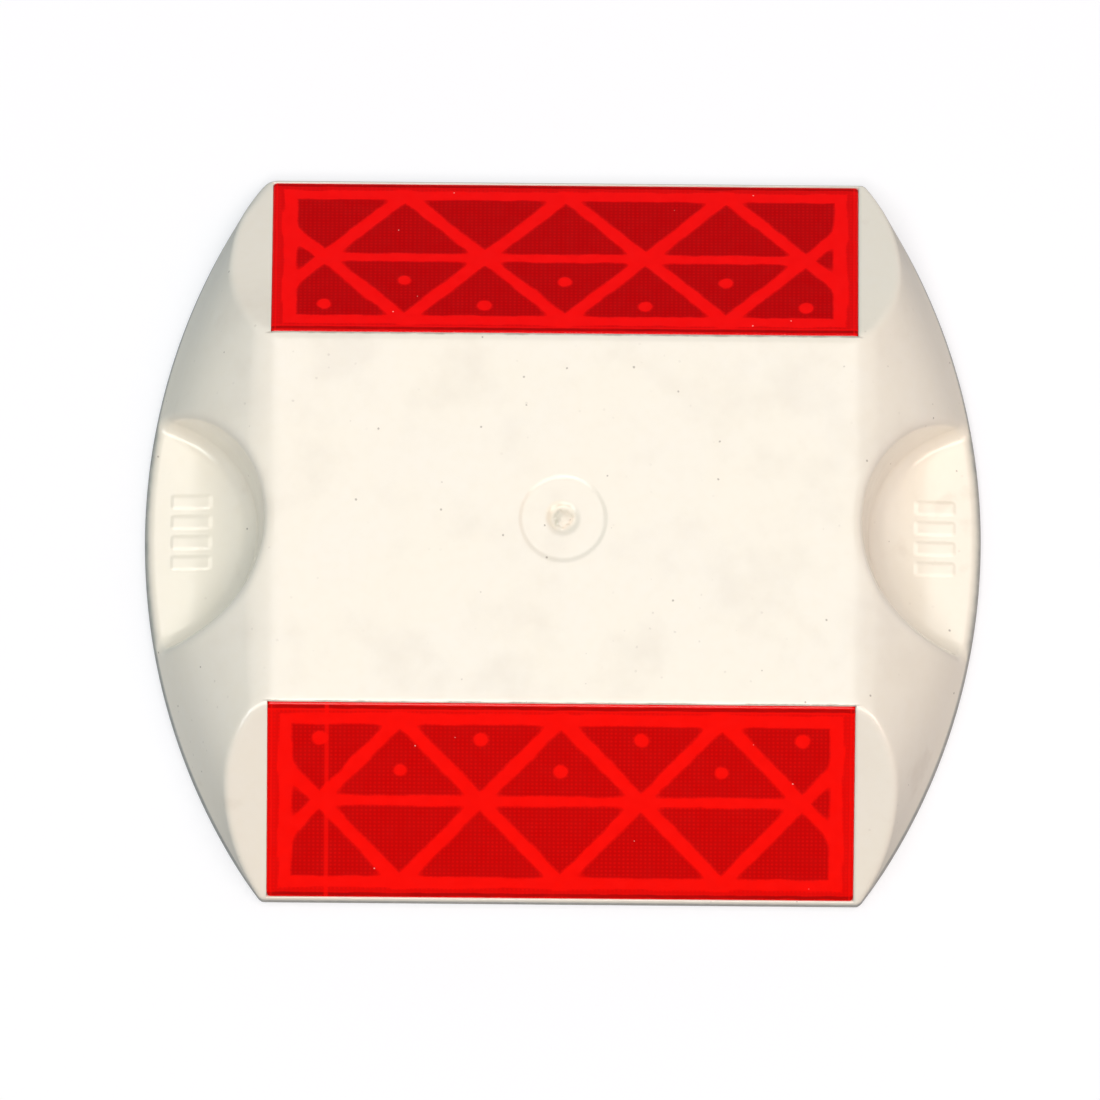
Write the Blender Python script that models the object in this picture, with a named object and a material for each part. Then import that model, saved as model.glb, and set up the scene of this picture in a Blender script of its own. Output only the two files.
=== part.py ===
"""Raised pavement marker: a moulded shell round a cast core, with a red reflective lens in each end slope.

Metres, +Z up. The origin is the middle of the underside. The front lens faces -Y, the rear lens faces +Y, and
the finger grips are at -X and +X.
"""

from math import atan2, cos, hypot, pi, sin, sqrt, tan

import bmesh
import bpy
from mathutils import Vector
from mathutils.geometry import delaunay_2d_cdt

MM = 0.001

# Outside of the shell
WIDTH = 101.6 * MM
LENGTH = 88.9 * MM
HEIGHT = 17.8 * MM
END_WIDTH = 72.8 * MM  # the straight front and rear edges
DECK_WIDTH = 73.0 * MM
DECK_LENGTH = 45.2 * MM
LIP_HEIGHT = 1.8 * MM  # upright edge all round the base
SIDE_BULGE = 0.75  # how far the sides are rounded outwards, as a share of their run
CREASE_RADIUS = 1.0 * MM
CREASE_STEPS = 2
CREASE_PROFILE = 0.5  # an arc of a circle
SHARP_ANGLE = pi / 6  # edges bent more than this stay sharp
SIDE_STEPS = 24  # facets along each rounded side
LEVELS = 9  # facets from the lip to the deck

# Inside of the shell
WALL = 3.0 * MM
POCKET_BACKING = 2.4 * MM  # shell left behind a lens pocket
BOND_GAP = 0.3 * MM  # between pieces that touch
GRIT_THICKNESS = 0.9 * MM

# Finger grips: a turned hollow on an upright axis near each side, with a ramp up from its floor
GRIP_AXIS_X = 51.9 * MM
GRIP_FLOOR = 2.5 * MM
GRIP_FLOOR_RADIUS = 13.2 * MM
GRIP_FILLET = 1.2 * MM
GRIP_FILLET_STEPS = 4
GRIP_RIM_RADIUS = 15.7 * MM  # at deck height
GRIP_FACETS = 56
GRIP_RAMP_X = 43.4 * MM  # where the floor starts to rise towards the middle
GRIP_RAMP_ANGLE = pi * 30 / 180

# Lenses and the pockets that hold them
LENS_WIDTH = 70.8 * MM
LENS_LENGTH = 25.7 * MM
LENS_THICKNESS = 1.3 * MM
LENS_CHAMFER = 0.25 * MM
LENS_BASE_STRIP = 0.7 * MM  # slope left below the lens, at the lip
LEDGE_DEPTH = 0.3 * MM  # from the rib tops to the floor of the pocket's border
CELL_DEPTH = 1.0 * MM  # from the rib tops to the floor of the cells

# Weld ribs behind each lens
RIB_WIDTH = 1.45 * MM
RIB_ROOT = 0.5 * MM  # how far the ribs are sunk in the pocket's floor
FRAME_INSET = 1.9 * MM  # from the lens edge to the middle of the frame rib
TRUSS_PITCH = 19.5 * MM  # from one crossing of the ribs to the next
TRUSS_CROSSINGS = 4
POST_RADIUS = 0.85 * MM
POST_NEAR_DECK = 0.81  # heights of the two rows of posts, as shares of the lens length
POST_NEAR_MIDDLE = 0.655
POST_FACETS = 16

# Moulding gate in the middle of the deck
GATE_RADIUS = 5.3 * MM
GATE_DEPTH = 0.35 * MM
GATE_NUB_RADIUS = 1.5 * MM
GATE_RING_RADIUS = 2.1 * MM
GATE_NUB_TOP_RADIUS = 1.05 * MM
GATE_NUB_HEIGHT = 0.26 * MM  # above the dish's floor
GATE_RING_DEPTH = 0.14 * MM
GATE_WALL_RUN = 0.7 * MM
GATE_FACETS = 40

CUTTER_MARGIN = 1.0 * MM  # how far a cutter runs past what it cuts
INSIDE_OUTLINES = 1  # the kind of triangulation asked for
SAME_PLACE = MM / 100  # points nearer than this count as level with each other
SAME_POINT = MM / 1000
SAME_CORNER = MM / 10000

SLOPE_RUN = (LENGTH - DECK_LENGTH) / 2
SLOPE_RISE = HEIGHT - LIP_HEIGHT
SLOPE_ANGLE = atan2(SLOPE_RISE, SLOPE_RUN)
SIDE_SAGITTA = (WIDTH - END_WIDTH) / 2
SIDE_RADIUS = ((LENGTH / 2) ** 2 + SIDE_SAGITTA**2) / (2 * SIDE_SAGITTA)


def clear_scene():
    for obj in list(bpy.data.objects):
        bpy.data.objects.remove(obj)


def plastic(name, colour, roughness, transmission=0.0):
    """A plain moulded material."""
    material = bpy.data.materials.new(name)
    material.use_nodes = True
    shader = material.node_tree.nodes["Principled BSDF"]
    shader.inputs["Base Color"].default_value = (*colour, 1.0)
    shader.inputs["Roughness"].default_value = roughness
    shader.inputs["Metallic"].default_value = 0.0
    shader.inputs["Transmission Weight"].default_value = transmission
    return material


def add_object(name, mesh, material=None):
    obj = bpy.data.objects.new(name, mesh)
    bpy.context.scene.collection.objects.link(obj)
    if material:
        mesh.materials.append(material)
    return obj


def add_cutter(name, mesh):
    """A helper shape, which is left out of the object itself."""
    obj = add_object(name, mesh)
    obj.hide_render = True
    obj.display_type = "WIRE"
    return obj


def combine(target, other, operation):
    modifier = target.modifiers.new(f"{operation.lower()}_{other.name}", "BOOLEAN")
    modifier.operation = operation
    modifier.solver = "EXACT"
    modifier.object = other


def finished_mesh(bm, name):
    bmesh.ops.recalc_face_normals(bm, faces=bm.faces)
    mesh = bpy.data.meshes.new(name)
    bm.to_mesh(mesh)
    bm.free()
    return mesh


def base_half_width(y):
    """Half the width of the base at this place along the marker: an arc of a circle."""
    return WIDTH / 2 - SIDE_RADIUS + sqrt(SIDE_RADIUS**2 - y**2)


def side_x(y, z):
    """Where the rounded side is, from the straight edge of the deck down to the curved edge of the base."""
    drop = min((HEIGHT - z) / SLOPE_RISE, 1.0)
    share = drop + SIDE_BULGE * drop * (1 - drop)
    return DECK_WIDTH / 2 + (base_half_width(y) - DECK_WIDTH / 2) * share


def end_y(z, slope_inset):
    """Where an end slope is at this height. slope_inset moves the slope inwards, square to itself."""
    return DECK_LENGTH / 2 + (HEIGHT - z) / SLOPE_RISE * SLOPE_RUN - slope_inset / sin(SLOPE_ANGLE)


def section(z, side_inset, slope_inset):
    """The marker's outline at one height, drawn inwards by the insets."""
    reach = min(end_y(z, slope_inset), LENGTH / 2 - side_inset)
    places = [reach * (2 * step / SIDE_STEPS - 1) for step in range(SIDE_STEPS + 1)]
    right = [(side_x(y, z) - side_inset, y, z) for y in places]
    left = [(-x, y, z) for x, y, z in reversed(right)]
    return right + left


def lofted(name, heights, side_inset=0.0, slope_inset=0.0, creases=False):
    """A solid through the marker's sections at these heights."""
    bm = bmesh.new()
    rings = []
    for z in heights:
        rings.append([bm.verts.new(point) for point in section(z, side_inset, slope_inset)])
    for lower, upper in zip(rings, rings[1:]):
        for i, corner in enumerate(lower):
            after = (i + 1) % len(lower)
            bm.faces.new((corner, lower[after], upper[after], upper[i]))
    bm.faces.new(reversed(rings[0]))
    bm.faces.new(rings[-1])
    if creases:
        soften_creases(bm)
    return finished_mesh(bm, name)


def soften_creases(bm):
    """Rounds the deck's side edges and the lines where the sides meet the end slopes."""
    edges = [edge for edge in bm.edges if is_deck_side(edge) or is_slope_corner(edge)]
    bmesh.ops.bevel(
        bm,
        geom=edges,
        offset=CREASE_RADIUS,
        segments=CREASE_STEPS,
        profile=CREASE_PROFILE,
        affect="EDGES",
        clamp_overlap=True,
    )


def is_deck_side(edge):
    a, b = (vert.co for vert in edge.verts)
    at_deck = min(a.z, b.z) > HEIGHT - SAME_PLACE
    return at_deck and abs(a.x - b.x) < SAME_PLACE


def is_slope_corner(edge):
    a, b = (vert.co for vert in edge.verts)
    on_slope = all(abs(abs(p.y) - end_y(p.z, 0)) < SAME_PLACE for p in (a, b))
    return on_slope and abs(a.z - b.z) > SAME_PLACE


def spread(low, high, steps):
    return [low + (high - low) * step / steps for step in range(steps + 1)]


def turned(name, profile, facets):
    """A solid turned about Z from a profile of (radius, height) points that starts and ends on the axis."""
    bm = bmesh.new()
    verts = [bm.verts.new((radius, 0, z)) for radius, z in profile]
    edges = [bm.edges.new(pair) for pair in zip(verts, verts[1:])]
    bmesh.ops.spin(bm, geom=verts + edges, axis=(0, 0, 1), cent=(0, 0, 0), steps=facets, angle=2 * pi)
    bmesh.ops.remove_doubles(bm, verts=bm.verts, dist=SAME_POINT)
    return finished_mesh(bm, name)


def grip_profile(grow):
    """The finger grip's hollow: a flat floor, a fillet and a drafted wall past the deck. grow widens it."""
    fillet = GRIP_FILLET + grow
    floor = GRIP_FLOOR - grow
    corner = [
        (GRIP_FLOOR_RADIUS + fillet * sin(turn), floor + fillet * (1 - cos(turn)))
        for turn in spread(0, pi / 2, GRIP_FILLET_STEPS)
    ]
    wall_foot, wall_foot_z = corner[-1]
    draft = (GRIP_RIM_RADIUS + grow - wall_foot) / (HEIGHT - wall_foot_z)
    top = HEIGHT + CUTTER_MARGIN
    rim = wall_foot + draft * (top - wall_foot_z)
    return [(0, floor)] + corner + [(rim, top), (0, top)]


def add_grip_cutters(label, grow):
    cutters = []
    for side, sign in (("left", -1), ("right", 1)):
        name = f"{side}_{label}"
        cutter = add_cutter(name, turned(name, grip_profile(grow), GRIP_FACETS))
        cutter.location.x = sign * GRIP_AXIS_X
        combine(cutter, add_cutter(f"{name}_ramp", grip_ramp(name, sign, grow)), "DIFFERENCE")
        cutters.append(cutter)
    return cutters


def grip_ramp(name, sign, grow):
    """The wedge that raises the inner side of a grip's floor, as a solid below the ramp."""
    foot_x = GRIP_RAMP_X + grow * tan(GRIP_RAMP_ANGLE / 2)
    foot_z = GRIP_FLOOR - grow
    far_x = GRIP_AXIS_X - GRIP_RIM_RADIUS - grow - CUTTER_MARGIN
    far_z = foot_z + (foot_x - far_x) * tan(GRIP_RAMP_ANGLE)
    low = foot_z - CUTTER_MARGIN
    low_x = foot_x + CUTTER_MARGIN / tan(GRIP_RAMP_ANGLE)
    profile = [(low_x, low), (far_x, far_z), (far_x, low)]
    reach = GRIP_RIM_RADIUS + grow + CUTTER_MARGIN
    bm = bmesh.new()
    ends = []
    for y in (-reach, reach):
        ends.append([bm.verts.new((sign * x, y, z)) for x, z in profile])
    for i in range(len(profile)):
        bm.faces.new((ends[0][i - 1], ends[0][i], ends[1][i], ends[1][i - 1]))
    bm.faces.new(ends[0])
    bm.faces.new(reversed(ends[1]))
    return finished_mesh(bm, f"{name}_ramp")


def gate_profile():
    """The dish left by the moulding gate, with its nub in the middle."""
    top = HEIGHT + CUTTER_MARGIN
    floor = HEIGHT - GATE_DEPTH
    return [
        (0, floor + GATE_NUB_HEIGHT),
        (GATE_NUB_TOP_RADIUS, floor + GATE_NUB_HEIGHT),
        (GATE_NUB_RADIUS, floor - GATE_RING_DEPTH),
        (GATE_RING_RADIUS, floor),
        (GATE_RADIUS - GATE_WALL_RUN, floor),
        (GATE_RADIUS + GATE_WALL_RUN * CUTTER_MARGIN / GATE_DEPTH, top),
        (0, top),
    ]


def inset_outline(points, distance):
    """A convex outline, anticlockwise, with each side moved inwards."""
    moved = []
    for i, (x, y) in enumerate(points):
        before, after = points[i - 1], points[(i + 1) % len(points)]
        in_x, in_y = unit(x - before[0], y - before[1])
        out_x, out_y = unit(after[0] - x, after[1] - y)
        turn = in_x * out_y - in_y * out_x
        moved.append((x + distance * (out_x - in_x) / turn, y + distance * (out_y - in_y) / turn))
    return moved


def unit(x, y):
    length = hypot(x, y)
    return x / length, y / length


def rectangle(half_width, low, high):
    return [(-half_width, low), (half_width, low), (half_width, high), (-half_width, high)]


def truss_cells():
    """The openings between the weld ribs, as outlines in the lens's own plane, with y from its lower edge."""
    side = LENS_WIDTH / 2 - FRAME_INSET
    middle = LENS_LENGTH / 2
    half_pitch = TRUSS_PITCH / 2
    outer = (TRUSS_CROSSINGS - 1) * half_pitch
    cells = []
    for end in (-1, 1):
        edge_y = middle + end * (middle - FRAME_INSET)
        steep = (edge_y - middle) / half_pitch
        side_y = middle + steep * (side - outer)
        for k in range(TRUSS_CROSSINGS - 1):
            apex = (k - (TRUSS_CROSSINGS - 2) / 2) * TRUSS_PITCH
            cells.append([(apex - half_pitch, middle), (apex + half_pitch, middle), (apex, edge_y)])
        for k in range(TRUSS_CROSSINGS - 2):
            x = (k - (TRUSS_CROSSINGS - 3) / 2) * TRUSS_PITCH
            cells.append([(x - half_pitch, edge_y), (x, middle), (x + half_pitch, edge_y)])
        for sign in (-1, 1):
            apex = outer - half_pitch
            corner = [(apex, edge_y), (outer, middle), (side, side_y), (side, edge_y)]
            cells.append([(sign * x, y) for x, y in corner])
    reach = (middle - FRAME_INSET) * (side - outer) / half_pitch
    for sign in (-1, 1):
        cells.append([(sign * outer, middle), (sign * side, middle - reach), (sign * side, middle + reach)])
    return [inset_outline(anticlockwise(cell), RIB_WIDTH / 2) for cell in cells]


def anticlockwise(points):
    area = sum(a[0] * b[1] - b[0] * a[1] for a, b in zip(points, points[1:] + points[:1]))
    return points if area > 0 else points[::-1]


def post_outlines():
    """The round support posts, which stand in the half of the pocket next to the deck."""
    crossings = [(k - (TRUSS_CROSSINGS - 1) / 2) * TRUSS_PITCH for k in range(TRUSS_CROSSINGS)]
    apexes = [(k - (TRUSS_CROSSINGS - 2) / 2) * TRUSS_PITCH for k in range(TRUSS_CROSSINGS - 1)]
    centres = [(x, POST_NEAR_DECK * LENS_LENGTH) for x in crossings]
    centres += [(x, POST_NEAR_MIDDLE * LENS_LENGTH) for x in apexes]
    return [[(x + POST_RADIUS * cos(t), y + POST_RADIUS * sin(t)) for t in ring()] for x, y in centres]


def ring():
    return [2 * pi * step / POST_FACETS for step in range(POST_FACETS)]


def extruded(name, outlines, low, high):
    """A solid from outlines in one plane. An outline in another is a hole, and one in a hole is solid."""
    points, sides = [], []
    for outline in outlines:
        first = len(points)
        points += [Vector(point) for point in outline]
        sides += [(first + i, first + (i + 1) % len(outline)) for i in range(len(outline))]
    flat = delaunay_2d_cdt(points, sides, [], INSIDE_OUTLINES, SAME_CORNER)
    bm = bmesh.new()
    verts = [bm.verts.new((x, y, low)) for x, y in flat[0]]
    faces = [bm.faces.new([verts[i] for i in face]) for face in flat[2]]
    holes = [face for face in faces if sum(encloses(o, face) for o in outlines) % 2 == 0]
    bmesh.ops.delete(bm, geom=holes, context="FACES")
    faces = list(bm.faces)
    raised = bmesh.ops.extrude_face_region(bm, geom=faces, use_keep_orig=True)["geom"]
    tops = [part for part in raised if isinstance(part, bmesh.types.BMVert)]
    bmesh.ops.translate(bm, verts=tops, vec=(0, 0, high - low))
    return finished_mesh(bm, name)


def encloses(outline, face):
    """True if the middle of the face is inside the outline."""
    middle = face.calc_center_median()
    crossings = 0
    for (ax, ay), (bx, by) in zip(outline, outline[1:] + outline[:1]):
        if (ay > middle.y) != (by > middle.y):
            crossings += ax + (middle.y - ay) * (bx - ax) / (by - ay) > middle.x
    return crossings % 2 == 1


def place_on_slope(obj, end):
    """Puts a shape drawn in a lens's plane on an end slope: x across, y up the slope, z out of it."""
    along = LENS_BASE_STRIP
    y = LENGTH / 2 - along * cos(SLOPE_ANGLE)
    z = LIP_HEIGHT + along * sin(SLOPE_ANGLE)
    obj.location = (0, y if end == "rear" else -y, z)
    obj.rotation_euler = (SLOPE_ANGLE, 0, pi if end == "rear" else 0)


def add_lens(end, material):
    """The lens plate, flush with the end slope."""
    outline = rectangle(LENS_WIDTH / 2, 0, LENS_LENGTH)
    lens = add_object(f"{end}_lens", extruded(f"{end}_lens", [outline], -LENS_THICKNESS, 0), material)
    place_on_slope(lens, end)
    chamfer = lens.modifiers.new("edge_chamfer", "BEVEL")
    chamfer.width = LENS_CHAMFER
    chamfer.segments = 1
    chamfer.limit_method = "ANGLE"


def cut_lens_pocket(shell, end):
    """The pocket that a lens drops into: a ledge, air cells, and the weld ribs and posts in them."""
    rib_top = -LENS_THICKNESS - BOND_GAP
    ledge = rib_top - LEDGE_DEPTH
    floor = rib_top - CELL_DEPTH
    edge = FRAME_INSET - RIB_WIDTH / 2
    seat = rectangle(LENS_WIDTH / 2 + BOND_GAP, -BOND_GAP, LENS_LENGTH + BOND_GAP)
    frame = rectangle(LENS_WIDTH / 2 - edge, edge, LENS_LENGTH - edge)
    well = inset_outline(frame, RIB_WIDTH / 2)
    ribs = [frame] + truss_cells() + post_outlines()
    shapes = (
        ("pocket", [seat], ledge, CUTTER_MARGIN, "DIFFERENCE"),
        ("well", [well], floor, 0.0, "DIFFERENCE"),
        ("ribs", ribs, floor - RIB_ROOT, rib_top, "UNION"),
    )
    for label, outlines, low, high, operation in shapes:
        name = f"{end}_{label}"
        tool = add_cutter(name, extruded(name, outlines, low, high))
        place_on_slope(tool, end)
        combine(shell, tool, operation)


def add_inner_solid(name, heights, gap, make):
    """A solid inside the shell's hollow, gap away from the shell, and clear of the finger grips."""
    slope_inset = LENS_THICKNESS + BOND_GAP + CELL_DEPTH + POCKET_BACKING + gap
    solid = make(name, lofted(name, heights, WALL + gap, slope_inset))
    for cutter in add_grip_cutters(f"grip_outside_{name}", WALL + gap):
        combine(solid, cutter, "DIFFERENCE")
    return solid


def add_shell(material):
    """The moulded outer skin, hollow underneath."""
    heights = [0.0] + spread(LIP_HEIGHT, HEIGHT, LEVELS)
    shell = add_object("body_shell", lofted("body_shell", heights, creases=True), material)
    hollow_heights = [-CUTTER_MARGIN] + spread(LIP_HEIGHT, HEIGHT - WALL, LEVELS)
    combine(shell, add_inner_solid("hollow", hollow_heights, 0.0, add_cutter), "DIFFERENCE")
    for cutter in add_grip_cutters("grip", 0.0):
        combine(shell, cutter, "DIFFERENCE")
    combine(shell, add_cutter("gate", turned("gate", gate_profile(), GATE_FACETS)), "DIFFERENCE")
    for end in ("front", "rear"):
        cut_lens_pocket(shell, end)


def add_core(material):
    """The cast filling, and the grit bonded to its underside, level with the shell's lower edge."""

    def make(name, mesh):
        return add_object(name, mesh, material[name])

    low = GRIT_THICKNESS + BOND_GAP
    add_inner_solid("filling_core", spread(low, HEIGHT - WALL - BOND_GAP, LEVELS), BOND_GAP, make)
    add_inner_solid("base_grit", [0.0, GRIT_THICKNESS], BOND_GAP, make)


def shade_round_shapes():
    for obj in bpy.data.objects:
        if obj.type == "MESH" and not obj.hide_render:
            obj.data.shade_smooth()
            obj.data.set_sharp_from_angle(angle=SHARP_ANGLE)


clear_scene()
add_shell(plastic("cream_white_plastic", (0.82, 0.78, 0.68), 0.38))
add_core(
    {
        "filling_core": plastic("cast_filling", (0.36, 0.35, 0.32), 0.85),
        "base_grit": plastic("bonded_grit", (0.42, 0.38, 0.31), 0.95),
    }
)
lens_red = plastic("clear_red_lens", (0.70, 0.005, 0.005), 0.12, transmission=0.3)
add_lens("front", lens_red)
add_lens("rear", lens_red.copy())
shade_round_shapes()
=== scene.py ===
"""Looks of the raised pavement marker: a moulded shell, two reflective lenses and a gritty underside.

Metres, +Z up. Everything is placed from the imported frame. Patterns are worked out in millimetres.
"""

from math import atan2, cos, pi, radians, sin

import bmesh
import bpy
import numpy as np
from mathutils import Matrix, Vector


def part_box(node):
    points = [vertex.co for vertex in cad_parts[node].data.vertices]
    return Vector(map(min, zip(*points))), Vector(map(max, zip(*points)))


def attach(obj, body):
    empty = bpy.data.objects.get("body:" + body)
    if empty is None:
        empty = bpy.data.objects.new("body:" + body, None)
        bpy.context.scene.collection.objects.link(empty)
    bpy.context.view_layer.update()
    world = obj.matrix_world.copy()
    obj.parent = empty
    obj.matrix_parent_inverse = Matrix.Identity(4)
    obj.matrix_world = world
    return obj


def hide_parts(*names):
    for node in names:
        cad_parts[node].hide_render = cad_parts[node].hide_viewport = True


MM = 0.001

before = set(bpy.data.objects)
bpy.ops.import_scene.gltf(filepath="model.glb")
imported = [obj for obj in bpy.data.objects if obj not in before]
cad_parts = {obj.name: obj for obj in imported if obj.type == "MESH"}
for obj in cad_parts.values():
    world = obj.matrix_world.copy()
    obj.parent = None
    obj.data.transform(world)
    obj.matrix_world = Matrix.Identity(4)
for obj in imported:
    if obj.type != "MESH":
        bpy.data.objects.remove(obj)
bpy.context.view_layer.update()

# The shell's outside
LOW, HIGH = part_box("body_shell")
WIDTH, LENGTH, HEIGHT = HIGH.x - LOW.x, HIGH.y - LOW.y, HIGH.z
END_WIDTH = 72.8 * MM
DECK_WIDTH = 73.0 * MM
DECK_LENGTH = 45.2 * MM
LIP_HEIGHT = 1.8 * MM
SIDE_BULGE_MIDDLE = 0.8
SIDE_BULGE_END = 0.50
SIDE_BULGE_LEAN = 0.35  # how much more the bulge is near the deck than near the lip
BULGE_END_Y = 34.0 * MM
DECK_SIDE_ROUNDING = 1.2 * MM
SLOPE_CORNER_ROUNDING = 0.45 * MM
LIP_ROUNDING = 0.35 * MM
WORN_CORNER_ROUNDING = 1.3 * MM
WORN_X = (0.0, 30 * MM)  # over these stretches the rear left corner gets rounder
WORN_Y = (30 * MM, 40 * MM)
WORN_BELOW = (-6 * MM, -3 * MM)

SLOPE_RUN = (LENGTH - DECK_LENGTH) / 2
SLOPE_RISE = HEIGHT - LIP_HEIGHT
SLOPE_ANGLE = atan2(SLOPE_RISE, SLOPE_RUN)
SIDE_SAGITTA = (WIDTH - END_WIDTH) / 2
SIDE_RADIUS = ((LENGTH / 2) ** 2 + SIDE_SAGITTA**2) / (2 * SIDE_SAGITTA)

# Finger grips
GRIP_AXIS_X = 51.9 * MM
GRIP_FLOOR = 2.5 * MM
GRIP_FOOT_RADIUS = 14.35 * MM
GRIP_RIM_RADIUS = 15.8 * MM
GRIP_FILLET = 1.8 * MM
GRIP_RIM_ROUNDING = 0.9 * MM
GRIP_RAMP_X = 43.4 * MM
GRIP_RAMP_ANGLE = radians(27)
GRIP_RAMP_ROUNDING = 1.6 * MM
BAR_CENTRE_X = 45.2 * MM
BAR_CENTRE_Y = 0.6 * MM
BAR_LENGTH = 4.4 * MM
BAR_WIDTH = 1.2 * MM
BAR_PITCH = 2.5 * MM
BAR_COUNT = 4
BAR_HEIGHT = 0.14 * MM
BAR_SHOULDER = 0.3 * MM

# Moulding gate
GATE_RADIUS = 5.35 * MM
GATE_DEPTH = 0.2 * MM
GATE_EDGE = 0.35 * MM
GATE_RING_RADIUS = 2.2 * MM
GATE_RING_DEPTH = 0.35 * MM
GATE_NUB_RADIUS = 1.3 * MM
GATE_NUB_HEIGHT = 0.33 * MM
GATE_NUB_EDGE = 0.7 * MM
GATE_DOMING = 0.35  # how much shallower the dish is in its middle

# Lenses
LENS_WIDTH = 71.2 * MM
LENS_LENGTH = 26.35 * MM
LENS_THICKNESS = 1.3 * MM
LENS_FOOT = 0.40 * MM  # along the slope, from the lip to the lens
LENS_GAP = 0.03 * MM
POCKET_DEPTH = 1.6 * MM
LENS_CORNER = 0.5 * MM
LENS_CORNER_STEPS = 6
LENS_EDGE = [  # (inset, depth) of each ring, from the underside to the top
    (0, -LENS_THICKNESS),
    (0, -0.3 * MM),
    (0.03 * MM, -0.15 * MM),
    (0.1 * MM, -0.06 * MM),
    (0.25 * MM, 0),
    (0.4 * MM, 0),
]

# The pattern in the lenses, in millimetres from the lens's middle. A pair is where a mark starts
# and where it is full.
TRUSS_PITCH = 19.5
OUTER_CROSSING = TRUSS_PITCH * 1.5
FRAME_HALF_WIDTH = 33.4
FRAME_HALF_HEIGHT = 11.05
LINE_HALF = 0.70
POST_RADIUS = 0.85
POST_AT_CROSSING = 8.4
POST_AT_APEX = 4.1
PRISM_PITCH = 0.53
SLANT_NARROWING = 0.54
SEAM_X = 28.4
WARP = 0.3
FRAME_WIDENING = 0.08  # how much wider the frame's lines are than the others
CORNER_BLEND = 1.3
POST_BLEND = 0.35
WELD_EDGE = (0.24, -0.22)
WIDTH_CHANGE = 0.6
PRISM_DOT = (0.42, 0.14)
PRISM_HEIGHT = 0.02 * MM
BORDER_START = (0.4, 1.1)
BORDER_SHARE = 0.45
SEAM_EDGE = (0.42, 0.12)
SEAM_SHARE = 0.6
STREAK_EDGE = (0.3, 0.12)
STREAK_FROM_TOP = 0.62
STREAK_FROM_FOOT = 0.5
# Painted highlights: thin bright lines just inside the lens's edge
RIM_HIGHLIGHT_EDGE = (0.18, 0.05)
RIM_HIGHLIGHT_FROM_SIDE = 0.5
RIM_HIGHLIGHT_FROM_TOP = 1.0
LENS_ROUGHNESS = 0.14
DUST_SIZE, DUST_SPREAD = 0.12, 2.4
LENS_SEED = {"front": 10.0, "rear": 30.0}

# Wear and marks on the shell, in millimetres. A pair is again where a mark starts and is full.
CLOUD_SIZE = 14.0
MOTTLE_SIZE = 1.2
MOTTLE_SHARE = 0.35
STAIN_SIZE = 9.0
STAIN_EDGE = (0.45, 0.75)
STAIN_HEIGHT = (10.0, 15.0)
STAIN_SHARE = 0.3
# Painted shade on the grips' floors: a darker, warmer tint inside this radius and below this height
GRIP_SHADE_EDGE = (15.2, 14.4)
GRIP_SHADE_TOP = (4.2, 3.2)
GRIP_SHADE_SHARE = 0.4
# Painted shade at the gate: an amber tint on the side of the dimple toward -x and +y, and a darker middle
GATE_SIDE_SHADE_PLACE = (-0.3, 0.45)  # x and y
GATE_SIDE_SHADE_EDGE = (2.1, 1.5)
GATE_SIDE_SHADE_SHARE = 0.3
GATE_SHADE_EDGE = (1.7, 1.1)
GATE_SHADE_SHARE = 0.4
# A broken thin dark line on the deck, along the top edge of each lens
CREASE_LINE_PLACE = 0.05
CREASE_LINE_EDGE = (0.14, 0.02)
CREASE_LINE_WANDER = 0.25
CREASE_LINE_SHARE = 0.6
CREASE_HEIGHT = (17.3, 17.6)
CREASE_REACH = (36.6, 35.8)
# Painted shade along the lip and low on the rounded sides
LIP_SHADE_TOP = (1.9, 1.2)
SIDE_SHADE_TOP = (2.55, 1.9)
SIDE_SHADE_START = (37.0, 40.0)
SCUFF_SIZE = 5.0
LOW_SCUFF_TOP = (14.0, 6.0)
SPECK_SIZE, SPECK_SPREAD = 0.19, 2.6
FAINT_SIZE, FAINT_SPREAD = 0.22, 1.5
FAINT_PATCH_SIZE = 18.0
GRIP_TEXTURE_EDGE = (15.6, 16.6)
GRIP_TEXTURE = 0.15
GRAIN_SIZE = 0.35
GRAIN_HEIGHT = 0.02 * MM
WAVE_SIZE = 6.0
WAVE_HEIGHT = 0.15 * MM
GLOSS_PATCH_SIZE = 3.0
SHELL_ROUGHNESS = 0.17
ROUGHNESS_RANGE = 0.12

# The bonded sand and the filling, in millimetres
SAND_SIZE = 1.1
RESIN_SIZE = 2.4
SAND_CLOUD_SIZE = 9.0
SAND_GRAIN_HEIGHT = 0.15 * MM
SAND_PIT_SIZE = 0.25
SAND_PIT_HEIGHT = 0.05 * MM

# Colours, linear
CREAM = (0.93, 0.885, 0.775)
CREAM_COOL = (0.925, 0.885, 0.79)
CREAM_WARM = (0.90, 0.84, 0.71)
STAIN = (0.70, 0.64, 0.55)
# Painted shade on the lip: dark and cool
LIP_SHADE = (0.20, 0.24, 0.25)
# Painted shade at the gate: an amber tint on one side of the dimple, and a darker middle
GATE_SIDE_SHADE = (0.88, 0.78, 0.58)
GATE_SHADE = (0.60, 0.57, 0.48)
# The colour of the thin dark line along each lens
CREASE_DARK = (0.34, 0.29, 0.24)
SMUDGE = (0.45, 0.33, 0.22)
SPECK = (0.25, 0.20, 0.16)
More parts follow.
